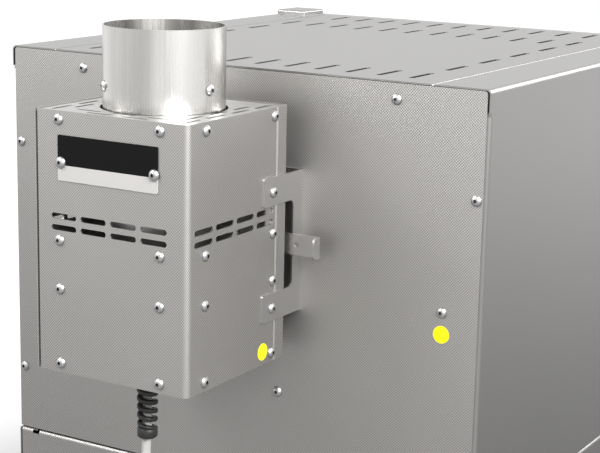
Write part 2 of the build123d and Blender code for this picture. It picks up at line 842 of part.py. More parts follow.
rocker_axis_y = front_y + 4.0
rocker_half_h = 10.8
rocker_play = 0.4  # between the rocker's sides and the bezel
pivot_r = 1.6
pivot_play = 0.05
with BuildPart() as rocker_bezel:
    with BuildSketch(front_view(front_y)):
        with Locations((rocker_x, rocker_z)):
            RectangleRounded(rocker_w + 6, rocker_h + 6, 2)
            Rectangle(rocker_w - 4, rocker_h - 4, mode=Mode.SUBTRACT)
    extrude(amount=2)
    with BuildSketch(front_view(front_y)):
        with Locations((rocker_x, rocker_z)):
            Rectangle(rocker_w - 0.4, rocker_h - 0.4)
            Rectangle(rocker_w - 4, rocker_h - 4, mode=Mode.SUBTRACT)
    extrude(amount=-20)
    with BuildSketch(side_view(rocker_x)):
        with Locations((rocker_axis_y, rocker_z)):
            Circle(pivot_r + pivot_play)
    extrude(amount=rocker_w, both=True, mode=Mode.SUBTRACT)
finish(rocker_bezel, "rocker_bezel")

with BuildPart() as power_rocker:
    with BuildSketch(side_view(rocker_x)):
        with BuildLine():
            low_lip = (front_y - 0.2, rocker_z - rocker_half_h)
            high_lip = (front_y - 4.0, rocker_z + rocker_half_h)
            ThreePointArc(low_lip, (front_y - 0.6, rocker_z), high_lip)
            Polyline(
                high_lip,
                (rocker_axis_y - 1, rocker_z + rocker_half_h - 0.5),
                (rocker_axis_y + 8, rocker_z + 5),
                (rocker_axis_y + 8, rocker_z - 5),
                (rocker_axis_y - 1, rocker_z - rocker_half_h + 0.5),
                low_lip,
            )
        make_face()
    extrude(amount=rocker_w / 2 - 2 - rocker_play, both=True)
    with BuildSketch(side_view(rocker_x)):
        with Locations((rocker_axis_y, rocker_z)):
            Circle(pivot_r)
    extrude(amount=rocker_w / 2 - 0.6, both=True)
finish(power_rocker, "power_rocker")

heat_sink_x = (-half_w + 130.0, half_w - 160.0)
heat_sink_y = rear_y - 170.0
heat_sink_w = 90.0
heat_sink_d = 120.0
heat_sink_base = 14.0
fin_pitch = 9.0
with BuildPart() as power_electronics:
    with BuildSketch(plan_view(pan_floor)):
        with Locations(*[(x, heat_sink_y) for x in heat_sink_x]):
            RectangleRounded(heat_sink_w, heat_sink_d, 3)
    extrude(amount=heat_sink_base)
    with BuildSketch(plan_view(pan_floor + heat_sink_base)):
        for x in heat_sink_x:
            with Locations((x, heat_sink_y)):
                with GridLocations(fin_pitch, 0, 9, 1):
                    Rectangle(fin_pitch / 3, heat_sink_d - 10)
    extrude(amount=34)
finish(power_electronics, "power_electronics")

with BuildPart() as mains_inlet:
    with BuildSketch(front_view(rear_y)):
        with Locations((inlet_x, inlet_z)):
            RectangleRounded(inlet_w + 12, inlet_h + 10, 4)
    extrude(amount=-3)
    with BuildSketch(front_view(rear_y)):
        with Locations((inlet_x, inlet_z)):
            RectangleRounded(inlet_w - 0.6, inlet_h - 0.6, 3)
    extrude(amount=26)
    with BuildSketch(front_view(rear_y + 3)):
        with Locations((inlet_x, inlet_z)):
            RectangleRounded(inlet_w - 8, inlet_h - 8, 3)
    extrude(amount=20, mode=Mode.SUBTRACT)
    with BuildSketch(front_view(rear_y - 17)):
        with Locations((inlet_x, inlet_z)):
            with GridLocations(13, 0, 3, 1):
                Rectangle(2.4, 6)
    extrude(amount=-15)
finish(mains_inlet, "mains_inlet")

with BuildPart() as fuse_holders:
    for z in (inlet_z + 9, inlet_z - 9):
        with BuildSketch(front_view(rear_y)):
            with Locations((fuse_x, z)):
                Circle(8)
        extrude(amount=-6, taper=5)
        with BuildSketch(front_view(rear_y)):
            with Locations((fuse_x, z)):
                Circle(fuse_r - 0.2)
        extrude(amount=22)
        with BuildSketch(front_view(rear_y + 6)):
            with Locations((fuse_x, z)):
                Rectangle(9, 1.4)
        extrude(amount=1.2, mode=Mode.SUBTRACT)
finish(fuse_holders, "fuse_holders")

# ---------------------------------------------------------------- exhaust path, damper and box brackets
spigot_l = 13.0
with BuildPart() as exhaust_port:
    with BuildSketch(front_view(rear_y)):
        with Locations((0, port_z)):
            RectangleRounded(76, 76, 4)
            Circle(port_r - 1.2, mode=Mode.SUBTRACT)
    extrude(amount=-1.5)
    with BuildSketch(front_view(rear_y - 1.5)):
        with Locations((0, port_z)):
            Circle(port_r - 0.1)
            Circle(port_r - 1.2, mode=Mode.SUBTRACT)
    extrude(amount=-spigot_l - 1.5)
finish(exhaust_port, "exhaust_port")

plate_w = 64.0
plate_h = 60.0
plate_t = 1.5
plate_y = rear_y + 14.4
plate_z = body_h - 129.5
tab_z = body_h - 129.5
tab_h = 16.3
tab_end = -92.0
lip_l = 10.0
guide_l = plate_w + 6
guide_lip = 5.0
guide_play = 0.4
guide_t = 1.2
with BuildPart() as damper_slide:
    with BuildSketch(front_view(plate_y)):
        with Locations((0, plate_z)):
            RectangleRounded(plate_w, plate_h, 3)
        with Locations(((tab_end - plate_w / 2 + 6) / 2, tab_z)):
            Rectangle(-tab_end - plate_w / 2 + 6, tab_h)
        with Locations((tab_end + 20, tab_z)):
            Circle(2.3, mode=Mode.SUBTRACT)
    extrude(amount=-plate_t)
    with BuildSketch(side_view(tab_end)):
        with Locations((plate_y + lip_l / 2, tab_z)):
            Rectangle(lip_l, tab_h)
    extrude(amount=plate_t)
    fillet(damper_slide.edges().filter_by(Axis.X).group_by(Axis.Y)[-1], 4)
    fillet(damper_slide.edges().filter_by(Axis.Z).sort_by(Axis.X)[0:1], 1.2)
finish(damper_slide, "damper_slide")

ear_h = 21.5
ear_reach = 54.0
web_d = 12.5
bracket_top = body_h - 74.0
bracket_low = body_h - 184.5
ear_t = 1.5
ear_screw_y = rear_y + 41.5
ear_screws_z = (bracket_top - 11.5, bracket_low + 10)
bracket_foot = 16.0
with BuildPart() as box_brackets:
    with BuildSketch(side_view(box_left)):
        with BuildLine():
            FilletPolyline(
                (rear_y, bracket_low),
                (rear_y + ear_reach, bracket_low),
                (rear_y + ear_reach, bracket_low + ear_h),
                (rear_y + web_d, bracket_low + ear_h),
                (rear_y + web_d, bracket_top - ear_h),
                (rear_y + ear_reach, bracket_top - ear_h),
                (rear_y + ear_reach, bracket_top),
                (rear_y, bracket_top),
                radius=[1.5, 1.5, 5, 5, 1.5, 1.5],
            )
            Line((rear_y, bracket_top), (rear_y, bracket_low))
        make_face()
        with Locations(*[(ear_screw_y, z) for z in ear_screws_z]):
            Circle(hole_r, mode=Mode.SUBTRACT)
    extrude(amount=-ear_t)
    with BuildSketch(front_view(rear_y)):
        with Locations((box_left - ear_t + bracket_foot / 2, (bracket_top + bracket_low) / 2)):
            Rectangle(bracket_foot, bracket_top - bracket_low)
    extrude(amount=-ear_t)
    mirror(about=Plane.YZ.offset(box_x))
finish(box_brackets, "box_brackets")

# ---------------------------------------------------------------- exhaust box
plate_gap = 0.4  # from the end plates to the walls round them
end_inset = 0.6  # the end plates lie this far inside the walls' edges
end_flange = 14.0
wall_low = box_low + end_flange + 2
wall_high = box_top - end_flange - 2
box_holes_z = [body_h - drop for drop in (28.8, 117.3, 153.6, 210.0)]
face_holes_x = (box_x + 45.5, box_x - 43.5)
side_holes_y = (rear_y + 128, rear_y + 39)
face_slots_x = box_x + 1.4
side_slots_y = rear_y + 90.5
slots_z = [body_h + z for z in slot_rows_z]
stub_r = 24.0
joggle = 1.4
joggle_l = 12.0
cover_edge = box_right - sheet - 0.8
cover_fold = 12.0


def wall_openings(plane, holes, slots_at):
    """Cuts the screw holes and the two rows of ventilation slots through a box wall that the plane lies in."""
    with BuildSketch(plane) as cut:
        with Locations(*holes):
            Circle(hole_r)
        with Locations(*[(slots_at + i, z) for i in centred(4, slot_pitch) for z in slots_z]):
            SlotOverall(slot_l, slot_w)
    extrude(cut.sketch, amount=2 * sheet, both=True, mode=Mode.SUBTRACT)


def trim_flange_ends(x0, x1, y0, y1):
    """Cuts a wall's hidden flange back at its ends, where the end plates' own flanges lie."""
    for low, high in ((box_low, wall_low), (wall_high, box_top)):
        with BuildSketch(plan_view(low)) as cut:
            with Locations(((x0 + x1) / 2, (y0 + y1) / 2)):
                Rectangle(x1 - x0, y1 - y0)
        extrude(cut.sketch, amount=high - low, mode=Mode.SUBTRACT)


with BuildPart() as box_body:
    wall = [
        (box_left + joggle, seam_y + joggle_l),
        (box_left + joggle, seam_y + 0.6),
        (box_left, seam_y - 1.9),
        (box_left, box_back),
        (box_right, box_back),
        (box_right, box_face),
    ]
    extrude(bent_sheet(plan_view(box_low), wall, [2, 2, 3, 3], Side.LEFT), amount=box_h)
    trim_flange_ends(box_left + sheet + 0.1, box_left + 5, seam_y - 3, seam_y + joggle_l + 1)
    wall_openings(side_view(box_right), [(y, z) for y in side_holes_y for z in box_holes_z], side_slots_y)
    with BuildSketch(side_view(box_right)):
        with Locations(*[(ear_screw_y, z) for z in ear_screws_z]):
            Circle(hole_r)
    extrude(amount=-2 * sheet, mode=Mode.SUBTRACT)
    with BuildSketch(side_view(box_left)):
        with Locations(
            *[(ear_screw_y, z) for z in ear_screws_z],
            *[(side_holes_y[-1], z) for z in box_holes_z[1:3]],
        ):
            Circle(hole_r)
    extrude(amount=joggle + 2 * sheet, mode=Mode.SUBTRACT)
    with BuildSketch(front_view(box_back)):
        with Locations((0, port_z)):
            Circle(stub_r + 0.3)
    extrude(amount=-2 * sheet, mode=Mode.SUBTRACT)
finish(box_body, "box_body")

with BuildPart() as damper_guides:
    for sign in (-1, 1):
        edge = plate_z + sign * (plate_h / 2 + guide_play)
        with BuildSketch(side_view(-guide_l / 2)):
            with BuildLine():
                Polyline(
                    (box_back, edge - sign * guide_lip),
                    (plate_y + plate_t + guide_play, edge - sign * guide_lip),
                    (plate_y + plate_t + guide_play, edge),
                    (plate_y - guide_play, edge),
                    (plate_y - guide_play, edge - sign * guide_lip),
                    (plate_y - guide_play - guide_t, edge - sign * guide_lip),
                    (plate_y - guide_play - guide_t, edge + sign * 4),
                    (box_back, edge + sign * 4),
                    (box_back, edge - sign * guide_lip),
                )
            make_face()
        extrude(amount=guide_l)
finish(damper_guides, "damper_guides")

with BuildPart() as box_cover:
    wall = [
        (cover_edge, box_face - cover_fold),
        (cover_edge, box_face),
        (box_left, box_face),
        (box_left, seam_y + 0.8),
    ]
    extrude(bent_sheet(plan_view(box_low), wall, [fold_r, box_bend_r], Side.LEFT), amount=box_h)
    trim_flange_ends(cover_edge - 2, cover_edge + 1, box_face - cover_fold - 1, box_face - fold_r)
    wall_openings(front_view(box_face), [(x, z) for x in face_holes_x for z in box_holes_z], face_slots_x)
    wall_openings(side_view(box_left), [(y, z) for y in side_holes_y for z in box_holes_z], side_slots_y)
    with BuildSketch(side_view(box_left)):
        with Locations(*[(ear_screw_y, z) for z in ear_screws_z]):
            Circle(hole_r)
    extrude(amount=2 * sheet, mode=Mode.SUBTRACT)
    with BuildSketch(front_view(box_face)):
        with Locations(*nameplate_holes):
            Circle(hole_r)
    extrude(amount=2 * sheet, mode=Mode.SUBTRACT)
finish(box_cover, "box_cover")

end_x0 = box_left + sheet + plate_gap
end_x1 = box_right - sheet - plate_gap
end_y0 = box_back + sheet + plate_gap
end_y1 = box_face - sheet - plate_gap
end_mid = ((end_x0 + end_x1) / 2, (end_y0 + end_y1) / 2)
end_size = (end_x1 - end_x0, end_y1 - end_y0)
flange_notch = 6.0


def end_plate(z, direction):
    """A plate with a flange along each edge, which points the given way, and open corners."""
    with BuildSketch(plan_view(z)) as outside:
        with Locations(end_mid):
            RectangleRounded(*end_size, box_bend_r - sheet)
    extrude(outside.sketch, amount=direction * end_flange)
    fillet(faces().sort_by(Axis.Z)[-1 if direction < 0 else 0].edges(), fold_r)
    with BuildSketch(plan_view(z + direction * sheet)) as inside:
        with Locations(end_mid):
            Rectangle(end_size[0] - 2 * sheet, end_size[1] - 2 * sheet)
    extrude(inside.sketch, amount=direction * end_flange, mode=Mode.SUBTRACT)
    with BuildSketch(plan_view(z + direction * (fold_r + 0.2))) as corners:
        with Locations(*[(x, y) for x in (end_x0, end_x1) for y in (end_y0, end_y1)]):
            Rectangle(2 * flange_notch, 2 * flange_notch)
    extrude(corners.sketch, amount=direction * end_flange, mode=Mode.SUBTRACT)


def end_plate_holes():
    """Cuts the screw holes through the flanges of both end plates."""
    with BuildSketch(front_view(box_face)) as face_holes:
        with Locations(*[(x, z) for x in face_holes_x for z in (box_holes_z[0], box_holes_z[-1])]):
            Circle(hole_r)
    extrude(face_holes.sketch, amount=4 * sheet, mode=Mode.SUBTRACT)
    with BuildSketch(side_view(box_left)) as side_holes:
        with Locations(*[(y, z) for y in side_holes_y for z in (box_holes_z[0], box_holes_z[-1])]):
            Circle(hole_r)
    extrude(side_holes.sketch, amount=box_w, mode=Mode.SUBTRACT)


top_slot_l = 22.0
top_slot_w = 3.0
top_slot_pitch = 31.0
with BuildPart() as box_top_plate:
    end_plate(box_top - end_inset, -1)
    end_plate_holes()
    with BuildSketch(plan_view(box_top)):
        with Locations((tube_x, tube_centre)):
            Circle(tube_r + tube_clear)
        for inset, shift in ((9.0, 0.0), (17.5, 0.5)):
            rows = [(i + shift) * top_slot_pitch for i in (-1.5, -0.5, 0.5, 1.5)]
            span = [r for r in rows if abs(r) + top_slot_l / 2 < end_size[1] / 2 - 3]
            with Locations(*[(x, end_mid[1] + r) for r in span for x in (end_x0 + inset, end_x1 - inset)]):
                SlotOverall(top_slot_l, top_slot_w, rotation=90)
            with Locations(*[(end_mid[0] + r, end_y1 - inset + 2) for r in span if abs(r) < 40]):
                SlotOverall(top_slot_l, top_slot_w)
    extrude(amount=-4 * sheet, mode=Mode.SUBTRACT)
finish(box_top_plate, "box_top_plate")

gland_x = 0.0
gland_thread = 6.0
bottom_slot_l = 50.0
with BuildPart() as box_bottom_plate:
    end_plate(box_low + end_inset, 1)
    end_plate_holes()
    with BuildSketch(plan_view(box_low)):
        with Locations((gland_x, rear_y + gland_y)):
            Circle(gland_thread + 0.1)
        with Locations((tube_x - 42, tube_centre), (tube_x + 42, tube_centre)):
            with GridLocations(10, 0, 3, 1):
                SlotOverall(bottom_slot_l, 5, rotation=90)
    extrude(amount=4 * sheet, mode=Mode.SUBTRACT)
finish(box_bottom_plate, "box_bottom_plate")

with BuildPart() as nameplate:
    with BuildSketch(front_view(box_face)):
        with Locations((nameplate_x, nameplate_z)):
            RectangleRounded(nameplate_w, nameplate_h, 1)
        with Locations(*nameplate_holes):
            Circle(hole_r, mode=Mode.SUBTRACT)
    extrude(amount=-nameplate_t)
finish(nameplate, "nameplate")

# ---------------------------------------------------------------- chimney, mixing duct and fan
tube_high = body_h + tube_top
sleeve_r = tube_r - tube_wall - sleeve_wall
tube_screw_z = body_h - 6.5
tube_screw_angles = [52 + 120 * i for i in range(3)]


def round_the_tube(radius):
    """Planes on the chimney where its screws sit, facing outwards."""
    places = []
    for angle in tube_screw_angles:
        out = Vector(math.cos(math.radians(angle)), math.sin(math.radians(angle)), 0)
        places.append(Plane(Vector(tube_x, tube_centre, tube_screw_z) + out * radius, z_dir=out))
    return places


def tube_screw_holes():
    for place in round_the_tube(tube_r + 1):
        with BuildSketch(place) as hole:
            Circle(hole_r)
        extrude(hole.sketch, amount=-6, mode=Mode.SUBTRACT)


with BuildPart() as chimney_tube:
    with BuildSketch(plan_view(box_top - tube_tuck)):
        with Locations((tube_x, tube_centre)):
            Circle(tube_r)
            Circle(tube_r - tube_wall, mode=Mode.SUBTRACT)
    extrude(amount=tube_tuck + box_drop + tube_top)
    with BuildSketch(plan_view(box_top - tube_tuck)):
        with Locations((tube_x, tube_centre)):
            Circle(tube_r - tube_wall)
            Circle(sleeve_r, mode=Mode.SUBTRACT)
    extrude(amount=tube_tuck + box_drop + tube_top - tube_mouth)
    tube_screw_holes()
finish(chimney_tube, "chimney_tube")

duct_r = sleeve_r - sleeve_play
duct_high = tube_high - duct_drop
carrier_z = box_low + 49.0
carrier_flange = 55.0
carrier_x0 = box_left + sheet + 0.3
carrier_x1 = box_right - sheet - 0.3
carrier_y1 = box_face - sheet - 0.3
with BuildPart() as mixing_duct:
    with BuildSketch(plan_view(carrier_z)):
        with Locations((tube_x, tube_centre)):
            Circle(duct_r)
    extrude(amount=duct_high - carrier_z)
    with BuildSketch(front_view(box_back - 2.5)):
        with Locations((0, port_z)):
            Circle(stub_r)
    extrude(amount=-(tube_y - box_gap + 2.5))
    with BuildSketch(plan_view(carrier_z)):
        with Locations(((carrier_x0 + carrier_x1) / 2, (box_back + 6 + carrier_y1) / 2)):
            Rectangle(carrier_x1 - carrier_x0, carrier_y1 - box_back - 6)
        for x in (carrier_x0, carrier_x1):
            with Locations((x, carrier_y1)):
                Rectangle(2 * 14, 2 * 14, mode=Mode.SUBTRACT)
            with Locations((x, box_back)):
                Rectangle(8, 2 * 30, mode=Mode.SUBTRACT)
    extrude(amount=duct_wall)
    with BuildSketch(plan_view(carrier_z)):
        with Locations((0, carrier_y1 - duct_wall / 2)):
            Rectangle(carrier_x1 - carrier_x0 - 2 * 14, duct_wall)
        for x in (carrier_x0 + duct_wall / 2, carrier_x1 - duct_wall / 2):
            with Locations((x, (box_back + 30 + carrier_y1 - 14) / 2)):
                Rectangle(duct_wall, carrier_y1 - 14 - box_back - 30)
    extrude(amount=carrier_flange)
    with BuildSketch(plan_view(carrier_z)):
        with Locations((tube_x, tube_centre)):
            Circle(duct_r - duct_wall)
    extrude(amount=body_h - carrier_z, mode=Mode.SUBTRACT)
    with BuildSketch(front_view(box_back - 2.5)):
        with Locations((0, port_z)):
            Circle(stub_r - duct_wall)
    extrude(amount=-(tube_y - box_gap + 2.5), mode=Mode.SUBTRACT)
    tube_screw_holes()
    with BuildSketch(front_view(box_face)):
        with Locations(*[(x, z) for x in face_holes_x for z in box_holes_z[1:3]]):
            Circle(hole_r)
    extrude(amount=4 * sheet, mode=Mode.SUBTRACT)
    for x in (box_left, box_right - 4 * sheet):
        with BuildSketch(side_view(x)):
            with Locations(*[(side_holes_y[0], z) for z in box_holes_z[1:3]]):
                Circle(hole_r)
        extrude(amount=4 * sheet, mode=Mode.SUBTRACT)
finish(mixing_duct, "mixing_duct")

motor_base_z = box_low + end_inset + sheet
motor_r = 15.0
motor_foot_w = 46.0
motor_foot_d = 12.0
motor_h = 24.0
shaft_r = 2.5
shaft_play = 0.05
fan_z = motor_base_z + 2 + motor_h + 3
fan_h = 12.0
hub_r = 8.0
fan_r = 39.0
blade_count = 7
blade_chord = 15.0
blade_t = 1.4
blade_pitch = 32.0
with BuildPart() as fan_motor:
    with BuildSketch(plan_view(motor_base_z)):
        with Locations((tube_x, tube_centre)):
            Circle(motor_r)
            Rectangle(motor_foot_w, motor_foot_d)
    extrude(amount=2)
    with BuildSketch(plan_view(motor_base_z + 2)):
        with Locations((tube_x, tube_centre)):
            Circle(motor_r)
    extrude(amount=motor_h)
    fillet(fan_motor.faces().sort_by(Axis.Z)[-1].edges(), 2)
    with BuildSketch(plan_view(motor_base_z + 2 + motor_h)):
        with Locations((tube_x, tube_centre)):
            Circle(shaft_r)
    extrude(amount=3 + fan_h)
finish(fan_motor, "fan_motor")

with BuildPart() as fan_impeller:
    with BuildSketch(plan_view(fan_z)):
        with Locations((tube_x, tube_centre)):
            Circle(hub_r)
    extrude(amount=fan_h)
    fillet(fan_impeller.faces().sort_by(Axis.Z)[-1].edges(), 2)
    for i in range(blade_count):
        turn = math.radians(360 / blade_count * i)
        out = Vector(math.cos(turn), math.sin(turn), 0)
        across = Vector(-math.sin(turn), math.cos(turn), 0)
        lean = across * math.cos(math.radians(blade_pitch)) + Vector(0, 0, math.sin(math.radians(blade_pitch)))
        root = Vector(tube_x, tube_centre, fan_z + fan_h / 2) + out * (hub_r - 2)
        with BuildSketch(Plane(root, x_dir=lean, z_dir=out)):
            Rectangle(blade_chord, blade_t)
        extrude(amount=fan_r - hub_r + 2)
    with BuildSketch(plan_view(fan_z - 10)):
        with Locations((tube_x, tube_centre)):
            Circle(shaft_r + shaft_play)
    extrude(amount=fan_h + 20, mode=Mode.SUBTRACT)
finish(fan_impeller, "fan_impeller")

# ---------------------------------------------------------------- fan cable
gland_at = (gland_x, rear_y + gland_y)
gland_flange = 1.5
relief_top = box_low - gland_flange
relief_low = body_h - 270.0
relief_r = 8.3
relief_bore = 4.3
relief_rings = 7
end_ring = 8.0
with BuildPart() as cable_gland:
    with BuildSketch(plan_view(relief_top)):
        with Locations(gland_at):
            Circle(relief_r + 0.6)
    extrude(amount=gland_flange)
    with BuildSketch(plan_view(box_low)):
        with Locations(gland_at):
            Circle(gland_thread)
    extrude(amount=end_inset + sheet + 6)
    with BuildSketch(plan_view(motor_base_z)):
        with Locations(gland_at):
            RegularPolygon(7.6, 6, major_radius=False)
    extrude(amount=3.5)
finish(cable_gland, "cable_gland")

ring_pitch = (relief_top - relief_low - end_ring) / relief_rings
ring_h = 0.52 * ring_pitch
with BuildPart() as bend_relief:
    for i in range(relief_rings):
        with BuildSketch(plan_view(relief_top - i * ring_pitch)):
            with Locations(gland_at):
                Circle(relief_r - 0.12 * i)
                Circle(relief_bore, mode=Mode.SUBTRACT)
        extrude(amount=-ring_h)
    with BuildSketch(plan_view(relief_low)):
        with Locations(gland_at):
            Circle(relief_r - 0.7)
            Circle(relief_bore, mode=Mode.SUBTRACT)
    extrude(amount=end_ring)
    # a bridge from each ring to the next, on alternate sides
    for i in range(relief_rings):
        side = 1 if i % 2 else -1
        with BuildSketch(plan_view(relief_top - i * ring_pitch - ring_h / 2)):
            with Locations((gland_x + side * (relief_r + relief_bore) / 2, gland_at[1])):
                Rectangle(relief_r - relief_bore - 1.2, 4)
        extrude(amount=-ring_pitch)
finish(bend_relief, "bend_relief")

plug_end = 56.0
cable_route = [
    (0.0, gland_y, relief_top),
    (0.0, gland_y, 276.0),
    (0.5, gland_y + 0.1, 250.0),
    (1.9, gland_y + 0.3, 224.0),
    (3.6, gland_y + 0.5, 195.0),
    (4.8, gland_y + 1.2, 164.0),
    (7.4, gland_y + 2.6, 137.0),
    (17.0, gland_y + 4.6, 114.5),
    (34.5, gland_y + 6.4, 98.0),
    (58.5, gland_y + 5.2, 94.0),
    (80.5, gland_y - 7.4, 98.5),
    (socket_x, gland_y - 29.2, socket_z),
    (socket_x, plug_end, socket_z),
]


def bend_radii(points):
    """The largest bend at each inner point of a route that its two runs leave room for."""
    radii = []
    for before, here, after in zip(points, points[1:], points[2:]):
        arrive = Vector(*here) - Vector(*before)
        leave = Vector(*after) - Vector(*here)
        turn = math.radians(arrive.get_angle(leave))
        radii.append(0.45 * min(arrive.length, leave.length) / math.tan(turn / 2))
    return radii


cable_points = [(x, rear_y + y, z) for x, y, z in cable_route]
cable_radii = bend_radii(cable_points)
print("cable bends", [round(r, 1) for r in cable_radii])
with BuildPart() as fan_cable:
    with BuildLine() as cable_line:
        FilletPolyline(*cable_points, radius=cable_radii)
    with BuildSketch(Plane(origin=cable_line.line @ 0, z_dir=cable_line.line % 0)):
        Circle(cable_r)
    sweep()
print("cable length", round(cable_line.wires()[0].length, 1))
finish(fan_cable, "fan_cable")

socket_flange = 28.0
barrel_r = 8.5
barrel_l = 11.0
with BuildPart() as fan_socket:
    with BuildSketch(front_view(rear_y)):
        with Locations((socket_x, socket_z)):
            RectangleRounded(socket_flange, socket_flange, 3)
    extrude(amount=-2.5)
    with BuildSketch(front_view(rear_y)):
        with Locations((socket_x, socket_z)):
            Circle(socket_r - 0.1)
    extrude(amount=14)
    with BuildSketch(front_view(rear_y + 2.5)):
        with Locations((socket_x, socket_z)):
            Circle(barrel_r)
    extrude(amount=-(barrel_l - 2.5))
finish(fan_socket, "fan_socket")

plug_r = 11.0
with BuildPart() as cable_plug:
    with BuildSketch(Plane((socket_x, rear_y, socket_z), x_dir=(1, 0, 0), z_dir=(0, 0, 1))):
        with BuildLine():
            Polyline(
                (0, barrel_l + 0.2),
                (barrel_r + 0.2, barrel_l + 0.2),
                (barrel_r + 0.2, 2.7),
                (plug_r, 2.7),
                (plug_r, 18),
                (9.2, 18),
                (9.2, 38),
                (7.0, 42),
                (5.2, plug_end),
                (0, plug_end),
                (0, barrel_l + 0.2),
            )
        make_face()
    revolve(axis=Axis((socket_x, rear_y, socket_z), (0, 1, 0)))
finish(cable_plug, "cable_plug")

# ---------------------------------------------------------------- screws
screw_places = [rear_facing(x, rear_y, z) for x, z in rear_screws + base_screws]
screw_places += [rear_facing(x, box_face, z) for x in face_holes_x for z in box_holes_z]
screw_places += [rear_facing(x, box_face + nameplate_t, z) for x, z in nameplate_holes]
for x, out in ((box_left, -1), (box_right, 1)):
    facing = (out, 0, 0)
    screw_places += [Plane((x, y, z), z_dir=facing) for y in side_holes_y for z in box_holes_z]
    screw_places += [Plane((x + out * ear_t, ear_screw_y, z), z_dir=facing) for z in ear_screws_z]
screw_places += round_the_tube(tube_r)
with BuildPart() as panel_screws:
    with Locations(*screw_places):
        add(screw.part)
finish(panel_screws, "panel_screws")
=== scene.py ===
"""The looks of a bench muffle furnace, seen from its rear left. Metres, in the frame of the CAD part."""

import math

import bmesh
import bpy
from mathutils import Matrix, Vector


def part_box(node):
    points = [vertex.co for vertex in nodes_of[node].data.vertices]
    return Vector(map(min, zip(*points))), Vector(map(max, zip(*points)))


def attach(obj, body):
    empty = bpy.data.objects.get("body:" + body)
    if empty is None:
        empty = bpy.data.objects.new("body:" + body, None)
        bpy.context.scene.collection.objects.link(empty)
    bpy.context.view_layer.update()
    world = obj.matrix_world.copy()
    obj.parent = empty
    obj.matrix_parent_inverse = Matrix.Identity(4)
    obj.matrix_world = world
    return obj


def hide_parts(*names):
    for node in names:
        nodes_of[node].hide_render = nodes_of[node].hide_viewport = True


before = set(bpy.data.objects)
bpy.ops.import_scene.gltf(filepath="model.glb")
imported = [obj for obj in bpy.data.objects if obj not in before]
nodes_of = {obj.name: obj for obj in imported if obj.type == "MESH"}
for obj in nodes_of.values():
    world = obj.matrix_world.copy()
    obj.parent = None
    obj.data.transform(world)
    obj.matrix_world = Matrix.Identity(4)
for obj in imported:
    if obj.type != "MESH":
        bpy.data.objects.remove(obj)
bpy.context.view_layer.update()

# ---------------------------------------------------------------- places
rear_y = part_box("rear_panel")[1].y
top_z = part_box("top_cover")[1].z
box_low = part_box("box_cover")[0]
gland_y = rear_y + 0.108  # the fan cable's gland stands this far out from the rear panel

# ---------------------------------------------------------------- camera
image_w = 600  # pixels
focal_px = 1609.7
sensor_w = 36.0  # millimetres
camera_turn = math.radians(210.85)
camera_tilt = math.radians(12.41)
camera_roll = math.radians(1.21)
camera_from_panel = Vector((-0.68416, 1.03631, 0.14664))  # from the rear panel's face, the middle and the top


def add_camera():
    """The photograph's viewpoint: where it stands, its heading, its tilt and its slight roll."""
    data = bpy.data.cameras.new("camera")
    data.sensor_width = sensor_w
    data.lens = focal_px / image_w * data.sensor_width
    data.clip_end = 50.0
    camera = bpy.data.objects.new("camera", data)
    bpy.context.scene.collection.objects.link(camera)
    back = Vector(
        (
            math.sin(camera_turn) * math.cos(camera_tilt),
            -math.cos(camera_turn) * math.cos(camera_tilt),
            math.sin(camera_tilt),
        )
    )
    right = (-back).cross(Vector((0, 0, 1))).normalized()
    up = right.cross(-back)
    rolled_right = right * math.cos(camera_roll) + up * math.sin(camera_roll)
    rolled_up = up * math.cos(camera_roll) - right * math.sin(camera_roll)
    turn = Matrix((rolled_right, rolled_up, back)).transposed()
    place = Vector((0, rear_y, top_z)) + camera_from_panel
    camera.matrix_world = Matrix.Translation(place) @ turn.to_4x4()
    bpy.context.scene.camera = camera


# ---------------------------------------------------------------- node helpers
# The colour sockets of a Mix node come after those for numbers and vectors, under the same names.
MIX_A, MIX_B, MIX_RESULT = 6, 7, 2


